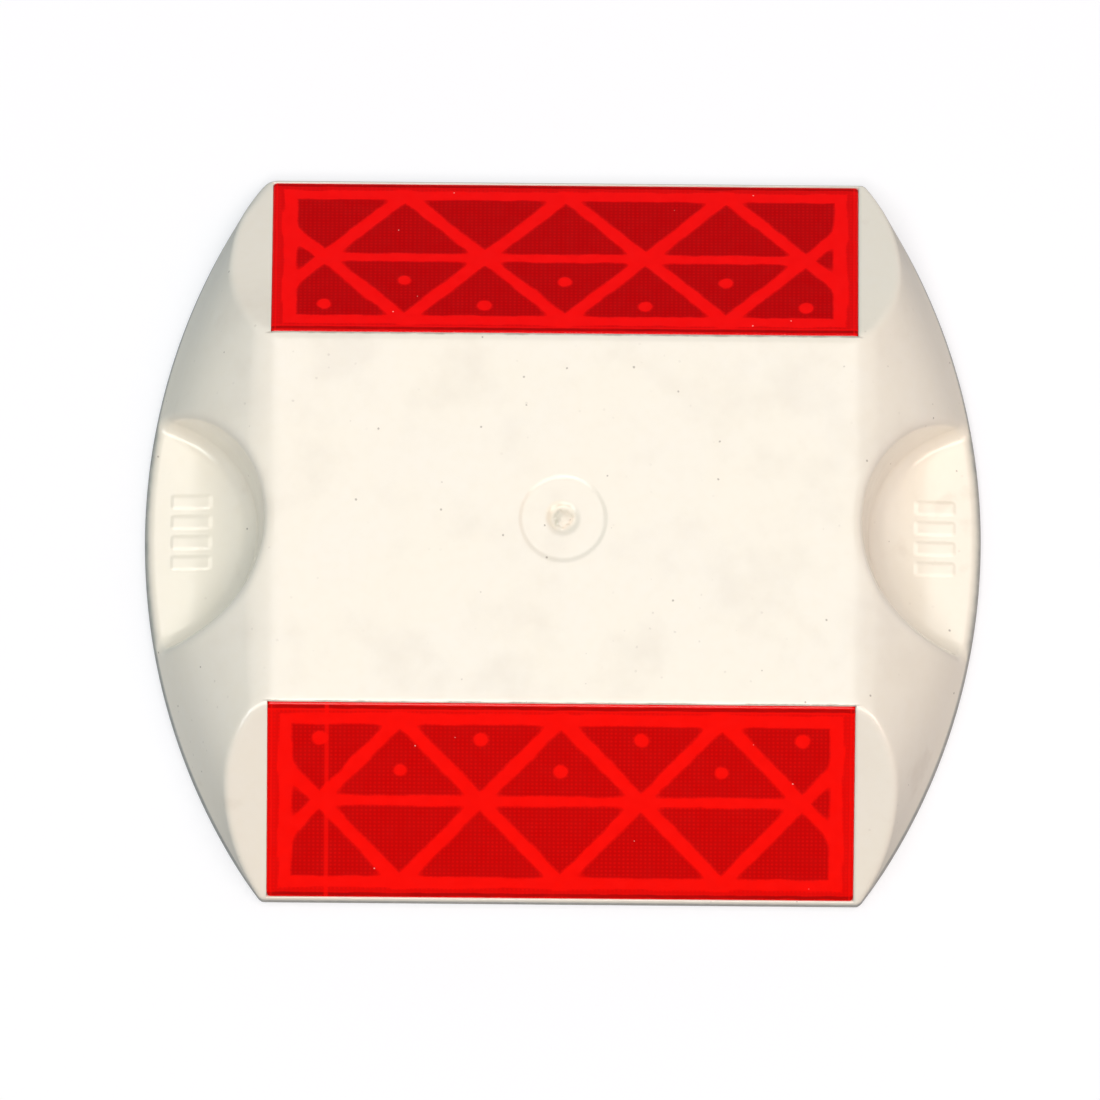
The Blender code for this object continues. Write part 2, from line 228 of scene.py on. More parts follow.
# Each lens has its own tones: the rear's middle and dark ones are lower, painted shade for the rear
# slope, which gets less light
LENS_BRIGHT = {"front": (0.99, 0.003, 0.001), "rear": (0.99, 0.003, 0.003)}
LENS_MIDDLE = {"front": (0.72, 0.0015, 0.001), "rear": (0.62, 0.0010, 0.002)}
LENS_DARK = {"front": (0.55, 0.0004, 0.0004), "rear": (0.465, 0.0004, 0.0015)}
LENS_SHADE = (0.26, 0.001, 0.001)
LENS_PAINTED_GLOW = {"front": 0.13, "rear": 0.165}  # painted glow: emission that stands in for the light the reflector sends back
LENS_DUST = (0.9, 0.55, 0.5)
SAND_PALE = (0.52, 0.46, 0.37)
SAND_MID = (0.33, 0.28, 0.21)
SAND_DARK = (0.10, 0.085, 0.07)
RESIN_PALE = (0.42, 0.41, 0.37)
RESIN_MID = (0.30, 0.29, 0.26)
RESIN_DARK = (0.12, 0.115, 0.10)
FLOOR_COLOUR = (0.975, 0.98, 1.0)
FLOOR_SHADE = (0.965, 0.97, 0.99)

# The grains under the base
GRIT_SEED = 5
GRIT_STEP = 0.35 * MM
GRAIN_PITCH = 1.3 * MM
GRAIN_DEPTH = 0.5 * MM
GRAIN_CLEARANCE = 0.02 * MM  # the tallest grain stays this far above the ground
GRAIN_SCATTER = 0.45  # of the pitch
GRAIN_SMALLEST = 0.55  # of the largest grain
GRAIN_LOWEST = 0.35  # of the tallest grain

# The studio
FLOOR_SIZE = 20.0
FLOOR_GLOW = 0.54
FLOOR_SHARE = 0.5  # of the light on the floor that the camera sees
FLOOR_BOUNCE = (0.45, 0.47, 0.48)
FLOOR_CLOUD_SIZE = 60.0  # millimetres
KEY_SIZE, FRONT_SIZE = 1.2, 0.3
KEY_PLACE = (0.05, 0.0, 1.5)
FRONT_PLACE = (-0.1, -0.75, 1.1)
KEY_POWER = 12.1
FRONT_POWER = 2.6
KEY_COLOUR = (0.985, 0.97, 0.94)
SKY_COOL = (0.85, 0.99, 1.05)
SKY_WARM = (1.1, 0.87, 0.80)
SKY_STRENGTH = 0.45
SKY_LOW = 0.42
SKY_LEAN = 0.28  # how much more light comes from +X
SKY_BACK = 0.12  # how much more comes from +Y
WARM_X, WARM_Y = 0.8, -0.5  # the side that the warm colour comes from
SKY_SEEN = 1.05
SKY_MIRRORED = 0.35
WINDOW_LEVEL = 0.153  # a bright band in reflections only, at -y = WINDOW_LEVEL + WINDOW_RISE * z
WINDOW_RISE = 0.34
SKY_FULL_HEIGHT = 0.9
MIRRORED_RISE = (0.4, 0.8)
WINDOW_EDGE = (0.15, 0.07)
WINDOW_REACH = (0.9, 0.75)
WINDOW_FOOT = (0.15, 0.3)
WINDOW_STRENGTH = 10.0
SENSOR = 36.0
FRAME_WIDTH = 133.5 * MM
CAMERA_DISTANCE = 5.0
CAMERA_ELEVATION = radians(79.7)
CAMERA_ROLL = radians(0.5)
CAMERA_AIM = (-1.557 * MM, -0.665 * MM)
AIM_DEPTH = 9.0 * MM

# The mesh of the shell. It is fine in bands: the grips' and the gate's in x, the gate's in y
# and the lip's in z.
COARSE = 0.45 * MM
FINE = 0.25 * MM
GRIP_BAND = (42 * MM, 51 * MM)
GATE_BAND = (-7 * MM, 7 * MM)
LIP_BAND = (-1.0, 3 * MM)
HOLLOW_GROWTH = 0.25 * MM  # how much larger the shell's hollow is than the filling
HOLLOW_FOOT = 0.05 * MM
SAME_POINT = MM / 1000
SHELL_SHARP = radians(75)  # edges bent more than this stay sharp
LENS_SHARP = radians(30)
GRIT_SHARP = radians(50)


def smooth_step(value, low, high):
    share = np.clip((value - low) / (high - low), 0.0, 1.0)
    return share * share * (3 - 2 * share)


def round_max(a, b, radius):
    """The larger of two distances, with a rounded corner where they are equal."""
    return np.minimum(np.maximum(a, b), -radius) + np.hypot(
        np.maximum(a + radius, 0), np.maximum(b + radius, 0)
    )


def base_half_width(y):
    return WIDTH / 2 - SIDE_RADIUS + np.sqrt(SIDE_RADIUS**2 - y**2)


def side_field(x, y, z):
    """Distance out of the rounded sides."""
    run = base_half_width(y) - DECK_WIDTH / 2
    drop = np.clip((HEIGHT - z) / SLOPE_RISE, -0.2, 1.2)
    near_end = np.minimum(np.abs(y) / BULGE_END_Y, 1.0) ** 2
    bulge = SIDE_BULGE_MIDDLE + (SIDE_BULGE_END - SIDE_BULGE_MIDDLE) * near_end
    lean = bulge + SIDE_BULGE_LEAN * (1 - 2 * drop)
    share = drop + lean * drop * (1 - drop)
    steepness = run * (1 + lean * (1 - 2 * drop) - 2 * SIDE_BULGE_LEAN * drop * (1 - drop)) / SLOPE_RISE
    return (np.abs(x) - DECK_WIDTH / 2 - run * share) / np.sqrt(1 + steepness**2)


def gate_relief(x, y):
    """How far the moulding gate is below the deck."""
    radius = np.hypot(x, y)
    turn = np.arctan2(y, x)
    dish = GATE_DEPTH * (1 - smooth_step(radius, GATE_RADIUS - GATE_EDGE, GATE_RADIUS))
    dish -= GATE_DEPTH * GATE_DOMING * (1 - smooth_step(radius, 0, GATE_RADIUS - GATE_EDGE))
    ring = GATE_RING_DEPTH * (1 - smooth_step(radius, GATE_NUB_RADIUS, GATE_RING_RADIUS))
    ragged = GATE_NUB_RADIUS * (1 + 0.10 * np.sin(3 * turn + 1.0) + 0.07 * np.sin(7 * turn))
    nub = GATE_NUB_HEIGHT * (1 - smooth_step(radius, ragged - GATE_NUB_EDGE, ragged))
    rough = 1 + 0.3 * np.sin(x / MM * 5.1 + 1.3) * np.sin(y / MM * 4.3 + 0.4)
    return dish + ring - nub * rough


def grip_field(x, y, z):
    """Distance into the finger grip's hollow: negative in the open air."""
    across = np.abs(x)
    ramp = np.tan(GRIP_RAMP_ANGLE) * (GRIP_RAMP_X - across)
    easing = np.maximum(GRIP_RAMP_ROUNDING - np.abs(ramp), 0) ** 2 / (4 * GRIP_RAMP_ROUNDING)
    rise = np.maximum(ramp, 0) + easing
    floor = GRIP_FLOOR + rise + bar_relief(across, y)
    draft = (GRIP_RIM_RADIUS - GRIP_FOOT_RADIUS) / (HEIGHT - GRIP_FLOOR)
    wall = GRIP_FOOT_RADIUS + draft * (z - GRIP_FLOOR)
    return round_max(floor - z, np.hypot(across - GRIP_AXIS_X, y) - wall, GRIP_FILLET)


def bar_relief(across, y):
    """Plain raised bars on the grip's floor."""
    lengthwise = np.abs(across - BAR_CENTRE_X) - BAR_LENGTH / 2
    row = (y - BAR_CENTRE_Y) / BAR_PITCH
    nearest = np.clip(np.round(row - 0.5), -BAR_COUNT / 2, BAR_COUNT / 2 - 1) + 0.5
    crosswise = np.abs(row - nearest) * BAR_PITCH - BAR_WIDTH / 2
    outside = np.hypot(np.maximum(lengthwise, 0), np.maximum(crosswise, 0))
    return BAR_HEIGHT * (1 - smooth_step(outside, 0, BAR_SHOULDER))


def shell_field(x, y, z):
    """Distance-like value that is 0 on the shell's outside and negative in the plastic."""
    sides = round_max(side_field(x, y, z), np.abs(x) - base_half_width(y), LIP_ROUNDING)
    slope = (np.abs(y) - DECK_LENGTH / 2) * sin(SLOPE_ANGLE) + (z - HEIGHT) * cos(SLOPE_ANGLE)
    ends = round_max(slope, np.abs(y) - LENGTH / 2, LIP_ROUNDING)
    deck = z - HEIGHT + gate_relief(x, y)
    body = round_max(sides, deck, DECK_SIDE_ROUNDING)
    worn = smooth_step(-x, *WORN_X) * smooth_step(y, *WORN_Y) * smooth_step(-z, *WORN_BELOW)
    corner = SLOPE_CORNER_ROUNDING + (WORN_CORNER_ROUNDING - SLOPE_CORNER_ROUNDING) * worn
    body = round_max(body, ends, corner)
    return round_max(body, -grip_field(x, y, z), GRIP_RIM_ROUNDING)


def banded(low, high, fine_bands):
    """Grid lines from low to high, close together inside the bands."""
    lines = [low]
    while lines[-1] < high:
        fine = any(a <= lines[-1] < b for a, b in fine_bands)
        lines.append(lines[-1] + (FINE if fine else COARSE))
    return np.array(lines)


def crossed_edges(value, axes, axis):
    """Grid edges along one axis that cross the surface, where they do, and which ones lead inwards."""
    low = np.take(value, range(value.shape[axis] - 1), axis)
    high = np.take(value, range(1, value.shape[axis]), axis)
    start = np.argwhere((low < 0) != (high < 0))
    a, b = low[tuple(start.T)], high[tuple(start.T)]
    point = np.stack([axes[k][start[:, k]] for k in range(3)], 1)
    step = axes[axis][start[:, axis] + 1] - axes[axis][start[:, axis]]
    point[:, axis] += a / (a - b) * step
    return start, point, b < 0


def surface_net(field, axes):
    """Points and quads of the surface where the field is 0: a point in each grid cell that it crosses."""
    value = field(*np.meshgrid(*axes, indexing="ij"))
    cells = tuple(n - 1 for n in value.shape)
    total = np.zeros((np.prod(cells), 3))
    count = np.zeros(np.prod(cells))
    quads = []
    for axis in range(3):
        start, point, inwards = crossed_edges(value, axes, axis)
        u, v = (axis + 1) % 3, (axis + 2) % 3
        corners, inside = [], np.ones(len(start), bool)
        for du, dv in ((0, 0), (-1, 0), (-1, -1), (0, -1)):
            cell = start.copy()
            cell[:, u] += du
            cell[:, v] += dv
            valid = np.all((cell >= 0) & (cell < cells), axis=1)
            index = np.ravel_multi_index(np.clip(cell, 0, np.array(cells) - 1).T, cells)
            np.add.at(total, index[valid], point[valid])
            np.add.at(count, index[valid], 1)
            corners.append(index)
            inside &= valid
        quad = np.stack(corners, 1)
        quad[inwards] = quad[inwards][:, ::-1]
        quads.append(quad[inside])
    used = np.flatnonzero(count)
    renumber = np.zeros(len(count), int)
    renumber[used] = np.arange(len(used))
    return total[used] / count[used, None], renumber[np.concatenate(quads)]


def onto_surface(points, field, rounds=5):
    """Moves points straight onto the surface where the field is 0."""
    step = 0.01 * MM
    for _ in range(rounds):
        x, y, z = points.T
        slope = np.stack(
            [
                field(x + step, y, z) - field(x - step, y, z),
                field(x, y + step, z) - field(x, y - step, z),
                field(x, y, z + step) - field(x, y, z - step),
            ],
            1,
        ) / (2 * step)
        move = field(x, y, z) / np.maximum((slope**2).sum(1), 0.1)
        points = points - np.clip(move, -FINE, FINE)[:, None] * slope
    return points


def relaxed(points, quads, field, rounds=4):
    """Evens out the quads along the surface."""
    ends = np.concatenate([quads[:, [k, (k + 1) % 4]] for k in range(4)])
    for _ in range(rounds):
        total, count = np.zeros_like(points), np.zeros(len(points))
        for a, b in (ends.T, ends.T[::-1]):
            np.add.at(total, a, points[b])
            np.add.at(count, a, 1)
        points = onto_surface(points + 0.5 * (total / count[:, None] - points), field, 2)
    return onto_surface(points, field)


def mesh_object(name, points, faces):
    mesh = bpy.data.meshes.new(name)
    mesh.from_pydata(np.asarray(points).tolist(), [], np.asarray(faces).tolist())
    return linked(name, mesh)


def linked(name, mesh):
    obj = bpy.data.objects.new(name, mesh)
    bpy.context.scene.collection.objects.link(obj)
    return obj


def edit(obj, change):
    """Runs a change on the object's mesh."""
    bm = bmesh.new()
    bm.from_mesh(obj.data)
    change(bm)
    bm.to_mesh(obj.data)
    bm.free()


def cut_level(bm):
    """Cuts the mesh off at the ground and closes it with one flat face."""
    parts = bm.verts[:] + bm.edges[:] + bm.faces[:]
    bmesh.ops.bisect_plane(bm, geom=parts, plane_co=(0, 0, 0), plane_no=(0, 0, -1), clear_outer=True)
    rim = [edge for edge in bm.edges if edge.is_boundary]
    bmesh.ops.contextual_create(bm, geom=rim)
    bmesh.ops.recalc_face_normals(bm, faces=bm.faces)


def subtract(target, cutter):
    modifier = target.modifiers.new(cutter.name, "BOOLEAN")
    modifier.operation = "DIFFERENCE"
    modifier.solver = "EXACT"
    modifier.object = cutter


def apply_modifiers(obj, *helpers):
    """Keeps the modified mesh and removes the helper objects."""
    graph = bpy.context.evaluated_depsgraph_get()
    mesh = bpy.data.meshes.new_from_object(obj.evaluated_get(graph))
    obj.modifiers.clear()
    obj.data = mesh
    for helper in helpers:
        bpy.data.objects.remove(helper)


def on_slope(end):
    """Places a shape drawn in a lens's plane: x across, y up the slope from the lip, z out of it."""
    sign = 1 if end == "rear" else -1
    turn = Matrix.Rotation(pi if end == "rear" else 0, 4, "Z") @ Matrix.Rotation(SLOPE_ANGLE, 4, "X")
    return Matrix.Translation((0, sign * LENGTH / 2, LIP_HEIGHT)) @ turn


def block(name, low, high, place):
    """A box between two corners, then placed."""
    bm = bmesh.new()
    bmesh.ops.create_cube(bm, size=1)
    low, high = Vector(low), Vector(high)
    stretched = Matrix.Translation((low + high) / 2) @ Matrix.Diagonal((*(high - low), 1))
    bmesh.ops.transform(bm, verts=bm.verts, matrix=stretched)
    bmesh.ops.transform(bm, verts=bm.verts, matrix=place)
    mesh = bpy.data.meshes.new(name)
    bm.to_mesh(mesh)
    bm.free()
    return linked(name, mesh)


def hollow_cutter():
    """The shell's inside: the cast core, a little larger, and open below."""
    core = linked("hollow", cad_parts["filling_core"].data.copy())
    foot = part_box("filling_core")[0].z + HOLLOW_FOOT

    def grow(bm):
        bmesh.ops.remove_doubles(bm, verts=bm.verts, dist=SAME_POINT)
        bm.normal_update()
        moves = [(vert, vert.co + vert.normal * HOLLOW_GROWTH) for vert in bm.verts]
        for vert, place in moves:
            below = vert.co.z < foot
            vert.co = place
            if below:
                vert.co.z = -MM

    edit(core, grow)
    return core


def make_shell():
    near, far = GRIP_BAND
    bands_x = [(-far, -near), GATE_BAND, GRIP_BAND]
    axes = (
        banded(-WIDTH / 2 - 2 * COARSE, WIDTH / 2 + COARSE, bands_x),
        banded(-LENGTH / 2 - 2 * COARSE, LENGTH / 2 + COARSE, [GATE_BAND]),
        banded(-3 * FINE, HEIGHT + COARSE, [LIP_BAND]),
    )
    points, quads = surface_net(shell_field, axes)
    points = relaxed(onto_surface(points, shell_field), quads, shell_field)
    shell = mesh_object("moulded_shell", points, quads)
    edit(shell, cut_level)
    helpers = [hollow_cutter()]
    reach = LENS_WIDTH / 2 + LENS_GAP
    top = LENS_FOOT + LENS_LENGTH + LENS_GAP
    for end in ("front", "rear"):
        low = (-reach, LENS_FOOT - LENS_GAP, -POCKET_DEPTH)
        helpers.append(block(f"{end}_pocket", low, (reach, top, MM), on_slope(end)))
    for helper in helpers:
        subtract(shell, helper)
    apply_modifiers(shell, *helpers)
    shell.data.shade_smooth()
    shell.data.set_sharp_from_angle(angle=SHELL_SHARP)
    return shell


def outline_ring(inset, corner):
    """A rounded rectangle's points in the lens's plane, anticlockwise."""
    points = []
    for k in range(4):
        side_x, side_y = ((1, -1), (1, 1), (-1, 1), (-1, -1))[k]
        centre = (side_x * (LENS_WIDTH / 2 - corner), side_y * (LENS_LENGTH / 2 - corner))
        for step in range(LENS_CORNER_STEPS + 1):
            turn = pi / 2 * (k - 1 + step / LENS_CORNER_STEPS)
            reach = corner - inset
            points.append((centre[0] + reach * cos(turn), centre[1] + reach * sin(turn)))
    return points


def make_lens(end):
    """A thin plate with bevelled edges. It keeps each point's place in its own plane, in millimetres."""
    bm = bmesh.new()
    middle = LENS_FOOT + LENS_LENGTH / 2
    place = on_slope(end)
    layer = bm.verts.layers.float_vector.new("lens_place")
    rings = []
    for inset, depth in LENS_EDGE:
        ring = []
        for x, y in outline_ring(inset, LENS_CORNER):
            vert = bm.verts.new(place @ Vector((x, middle + y, depth)))
            vert[layer] = Vector((x, y, depth)) / MM
            ring.append(vert)
        rings.append(ring)
    for lower, upper in zip(rings, rings[1:]):
        for i, corner in enumerate(lower):
            after = (i + 1) % len(lower)
            bm.faces.new((corner, lower[after], upper[after], upper[i]))
    bm.faces.new(reversed(rings[0]))
    bm.faces.new(rings[-1])
    mesh = bpy.data.meshes.new(f"{end}_reflector")
    bm.to_mesh(mesh)
    bm.free()
    mesh.shade_smooth()
    mesh.set_sharp_from_angle(angle=LENS_SHARP)
    return linked(f"{end}_reflector", mesh)


def grain_relief(x, y):
    """Height of a bed of sand grains seen from below: 0 at the tallest grain, up to the bed's depth."""
    dice = np.random.default_rng(GRIT_SEED)
    many = int(WIDTH / GRAIN_PITCH) + 6
    shift = dice.uniform(-GRAIN_SCATTER, GRAIN_SCATTER, (many, many, 2))
    size = dice.uniform(GRAIN_SMALLEST, 1.0, (many, many))
    tall = dice.uniform(GRAIN_LOWEST, 1.0, (many, many))
    column, row = x / GRAIN_PITCH + many / 2, y / GRAIN_PITCH + many / 2
    base_column, base_row = np.floor(column).astype(int), np.floor(row).astype(int)
    top = np.zeros_like(x)
    for i in (-1, 0, 1):
        for j in (-1, 0, 1):
            a, b = base_column + i, base_row + j
            away_x, away_y = column - a - 0.5 - shift[a, b, 0], row - b - 0.5 - shift[a, b, 1]
            far = (away_x**2 + away_y**2) / size[a, b] ** 2
            top = np.maximum(top, tall[a, b] * np.sqrt(np.maximum(1 - far, 0)))
    return GRAIN_DEPTH * (1 - top)


def make_grit():
    """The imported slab's outline, with its underside turned into a bed of grains."""
    slab = linked("bonded_sand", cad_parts["base_grit"].data.copy())
    edit(slab, lambda bm: bmesh.ops.remove_doubles(bm, verts=bm.verts, dist=SAME_POINT))
    across = np.arange(-WIDTH / 2, WIDTH / 2 + GRIT_STEP, GRIT_STEP)
    along = np.arange(-LENGTH / 2, LENGTH / 2 + GRIT_STEP, GRIT_STEP)
    x, y = np.meshgrid(across, along, indexing="ij")
    sheet = np.stack([x, y, grain_relief(x, y) + GRAIN_CLEARANCE], 2).reshape(-1, 3)
    count = x.size
    index = np.arange(count).reshape(x.shape)
    quads = np.stack([index[:-1, :-1], index[1:, :-1], index[1:, 1:], index[:-1, 1:]], 2).reshape(-1, 4)
    rim = np.concatenate([index[:-1, 0], index[-1, :-1], index[:0:-1, -1], index[0, :0:-1]])
    floor_index = count + np.arange(len(rim))
    floor = sheet[rim] * (1, 1, 0) - (0, 0, MM)
    after = np.roll(np.arange(len(rim)), -1)
    walls = np.stack([rim[after], rim, floor_index, floor_index[after]], 1)
    faces = quads.tolist() + walls.tolist() + [floor_index[::-1].tolist()]
    mesh = bpy.data.meshes.new("grain_cutter")
    mesh.from_pydata(np.concatenate([sheet, floor]).tolist(), [], faces)
    cutter = linked("grain_cutter", mesh)
    subtract(slab, cutter)
    apply_modifiers(slab, cutter)
    slab.data.shade_smooth()
    slab.data.set_sharp_from_angle(angle=GRIT_SHARP)
    return slab


class Value:
    """A number worked out by shader nodes, so that a pattern reads like a formula."""

    def __init__(self, tree, socket):
        self.tree, self.socket = tree, socket

    def math(self, operation, *others):
        node = self.tree.nodes.new("ShaderNodeMath")
        node.operation = operation
        for slot, value in zip(node.inputs, (self, *others)):
            feed(self.tree, slot, value)
        return Value(self.tree, node.outputs[0])

    def __add__(self, other):
        return self.math("ADD", other)

    def __sub__(self, other):
        return self.math("SUBTRACT", other)

    def __mul__(self, other):
        return self.math("MULTIPLY", other)

    def size(self):
        return self.math("ABSOLUTE")

    def least(self, other):
        return self.math("MINIMUM", other)

    def most(self, other):
        return self.math("MAXIMUM", other)

    def away(self, other):
        """Distance, from the distances along two directions."""
        return (self * self + other * other).math("SQRT")

    def blended_least(self, other, softness):
        return self.math("SMOOTH_MIN", other, softness)

    def ramp(self, low, high):
        """0 at low and below, 1 at high and above, eased between."""
        node = self.tree.nodes.new("ShaderNodeMapRange")
        node.interpolation_type = "SMOOTHSTEP"
        feed(self.tree, node.inputs["Value"], self)
        feed(self.tree, node.inputs["From Min"], low)
        feed(self.tree, node.inputs["From Max"], high)
        return Value(self.tree, node.outputs["Result"])


def feed(tree, slot, value):
    """Links a worked-out value to a socket, or sets a plain one."""
    if isinstance(value, Value):
        tree.links.new(value.socket, slot)
    else:
        slot.default_value = value


class Painter:
    """Builds one material's node tree."""

    def __init__(self, name):
        self.material = bpy.data.materials.new(name)
        self.material.use_nodes = True
        self.tree = self.material.node_tree
        self.shader = self.tree.nodes["Principled BSDF"]
        place = self.tree.nodes.new("ShaderNodeTexCoord")
        self.place = self.scaled(place.outputs["Object"], 1 / MM)

    def scaled(self, socket, factor):
        node = self.tree.nodes.new("ShaderNodeVectorMath")
        node.operation = "SCALE"
        self.tree.links.new(socket, node.inputs[0])
        node.inputs["Scale"].default_value = factor
        return node.outputs[0]

    def parts(self, socket):
        node = self.tree.nodes.new("ShaderNodeSeparateXYZ")
        self.tree.links.new(socket, node.inputs[0])
        return [Value(self.tree, output) for output in node.outputs]

    def noise(self, size, detail=2.0, place=None, shift=0.0):
        """Cloudy noise, about 0 to 1, with blobs of this size in millimetres."""
        node = self.tree.nodes.new("ShaderNodeTexNoise")
        node.noise_dimensions = "4D"
        self.tree.links.new(place or self.place, node.inputs["Vector"])
        node.inputs["Scale"].default_value = 1 / size
        node.inputs["Detail"].default_value = detail
        node.inputs["W"].default_value = shift
        return Value(self.tree, node.outputs["Fac"])

    def shifted(self, socket, shift):
        node = self.tree.nodes.new("ShaderNodeVectorMath")
        node.operation = "ADD"
        self.tree.links.new(socket, node.inputs[0])
        node.inputs[1].default_value = (shift * 17.3, shift * -9.1, shift * 5.7)
        return node.outputs[0]

    def cells(self, size, place=None, shift=0.0):
        """Distance to the nearest scattered point, as a share of the size, and that point's number."""
        node = self.tree.nodes.new("ShaderNodeTexVoronoi")
        self.tree.links.new(self.shifted(place or self.place, shift), node.inputs["Vector"])
        node.inputs["Scale"].default_value = 1 / size
        split = self.tree.nodes.new("ShaderNodeSeparateColor")
        self.tree.links.new(node.outputs["Color"], split.inputs[0])
        return Value(self.tree, node.outputs["Distance"]), Value(self.tree, split.outputs[0])

    def specks(self, size, spread, share, shift=0.0, place=None):
        """1 inside small scattered specks: the share is how many of the scattered points have one."""
        near, lot = self.cells(spread, place, shift)
        ragged = (self.noise(size * 1.5, 1.0, place, shift) - 0.5) * (size / spread)
        inside = (near + ragged).ramp(size / spread, size / spread * 0.4)
        return inside * lot.ramp(1 - share, 1 - share + 0.01)

    def mix(self, share, first, second):
        """The first colour, with this share of the second."""
        node = self.tree.nodes.new("ShaderNodeMix")
        node.data_type = "RGBA"
        feed(self.tree, node.inputs[0], share)
        for slot, colour in ((node.inputs[6], first), (node.inputs[7], second)):
            if isinstance(colour, tuple):
                slot.default_value = (*colour, 1.0)
            else:
                self.tree.links.new(colour, slot)
        return node.outputs[2]

    def bump(self, height, strength, distance, base=None):
        node = self.tree.nodes.new("ShaderNodeBump")
        node.inputs["Strength"].default_value = strength
        node.inputs["Distance"].default_value = distance
        feed(self.tree, node.inputs["Height"], height)
        if base:
            self.tree.links.new(base, node.inputs["Normal"])
        return node.outputs[0]

    def finish(self, colour, roughness, normal=None, **plain):
        """Links the shader. Settings given by name stay plain numbers."""
        self.tree.links.new(colour, self.shader.inputs["Base Color"])
        feed(self.tree, self.shader.inputs["Roughness"], roughness)
        if normal:
            self.tree.links.new(normal, self.shader.inputs["Normal"])
        for name, value in plain.items():
            self.shader.inputs[name.replace("_", " ")].default_value = value
        return self.material


def shell_plastic():
    """Cream-white moulded plastic with faint clouding, dust specks, scuffs, a thin dark line along each
    lens, and painted shade in the grips, at the gate and along the lower edge.
    """
    p = Painter("cream_moulded_plastic")
    x, y, z = p.parts(p.place)
    mottle = p.noise(MOTTLE_SIZE, 3.0, shift=2.0)
    from_grip = (x.size() - GRIP_AXIS_X / MM).away(y)
    # Painted shade: the grips' floors are tinted darker and warmer
    grip_shade = from_grip.ramp(*GRIP_SHADE_EDGE) * z.ramp(*GRIP_SHADE_TOP)
    colour = p.mix(p.noise(CLOUD_SIZE, 3.0, shift=1.0).ramp(0.35, 0.65), CREAM, CREAM_COOL)
    colour = p.mix(mottle.ramp(0.25, 0.9) * MOTTLE_SHARE, colour, CREAM_WARM)
    colour = p.mix(grip_shade * GRIP_SHADE_SHARE, colour, CREAM_WARM)
    stains = p.noise(STAIN_SIZE, 5.0, shift=13.0).ramp(*STAIN_EDGE) * z.ramp(*STAIN_HEIGHT)
    colour = p.mix(stains * STAIN_SHARE, colour, STAIN)
    colour = gate_marks(p, colour, x, y, mottle)
    colour = p.mix(crease_dark_line(p, x, y, z), colour, CREASE_DARK)
    colour = p.mix(lip_shade(x, z, mottle), colour, LIP_SHADE)
    colour = scuffs_and_specks(p, colour, z)
    calm = from_grip.ramp(*GRIP_TEXTURE_EDGE) * (1 - GRIP_TEXTURE) + GRIP_TEXTURE
    grain = p.bump(p.noise(GRAIN_SIZE, 2.0, shift=6.0) * calm, 0.08, GRAIN_HEIGHT)
    normal = p.bump(p.noise(WAVE_SIZE, 2.0, shift=7.0) * calm, 0.25, WAVE_HEIGHT, grain)
    roughness = p.noise(GLOSS_PATCH_SIZE, 3.0, shift=8.0) * ROUGHNESS_RANGE + SHELL_ROUGHNESS
    return p.finish(colour, roughness, normal, IOR=1.5)


def gate_marks(p, colour, x, y, mottle):
    """Painted shade at the moulding gate: an amber tint on one side of its dimple, and a darker rough
    middle.
    """
    shade_x, shade_y = GATE_SIDE_SHADE_PLACE
    # Painted shade on one side of the dimple
    side_shade = (x - shade_x).away(y - shade_y).ramp(*GATE_SIDE_SHADE_EDGE)
    colour = p.mix(side_shade * GATE_SIDE_SHADE_SHARE, colour, GATE_SIDE_SHADE)
    # Painted shade darkening the dimple's middle
    shade = x.away(y).ramp(*GATE_SHADE_EDGE) * mottle.ramp(0.3, 0.6)
    return p.mix(shade * GATE_SHADE_SHARE, colour, GATE_SHADE)


def crease_dark_line(p, x, y, z):
    """A broken thin dark line on the deck, along each lens."""
    wander = (p.noise(0.9, 3.0, shift=11.0) - 0.5) * CREASE_LINE_WANDER
    away = (y.size() - DECK_LENGTH / 2 / MM - CREASE_LINE_PLACE).size() + wander
    beside_lens = z.ramp(*CREASE_HEIGHT) * x.size().ramp(*CREASE_REACH)
    broken = p.noise(4.0, 3.0, shift=12.0).ramp(0.35, 0.6)
    return away.ramp(*CREASE_LINE_EDGE) * beside_lens * broken * CREASE_LINE_SHARE


def lip_shade(x, z, mottle):
    """Painted shade on the lip, mottled, which reaches a little higher on the rounded sides."""
    lip = z.ramp(*LIP_SHADE_TOP) * (mottle * 0.5 + 0.35)
    sides = z.ramp(*SIDE_SHADE_TOP) * x.size().ramp(*SIDE_SHADE_START)
    return lip.most(sides * (mottle * 0.5 + 0.42))


def scuffs_and_specks(p, colour, z):
    """Faint grey scuffs, stronger low down, then scattered dark specks and patches of faint ones."""
    scuff = p.noise(SCUFF_SIZE, 4.0, shift=3.0).ramp(0.6, 0.75)
    colour = p.mix(scuff * (z.ramp(*LOW_SCUFF_TOP) * 0.07 + 0.05), colour, SMUDGE)
    dark = p.specks(SPECK_SIZE, SPECK_SPREAD, 0.35, shift=4.0) * 0.6
    patches = p.noise(FAINT_PATCH_SIZE, 2.0, shift=9.0).ramp(0.4, 0.7)
    faint = p.specks(FAINT_SIZE, FAINT_SPREAD, 0.4, shift=5.0) * patches * 0.2
    return p.mix(dark.most(faint), colour, SPECK)


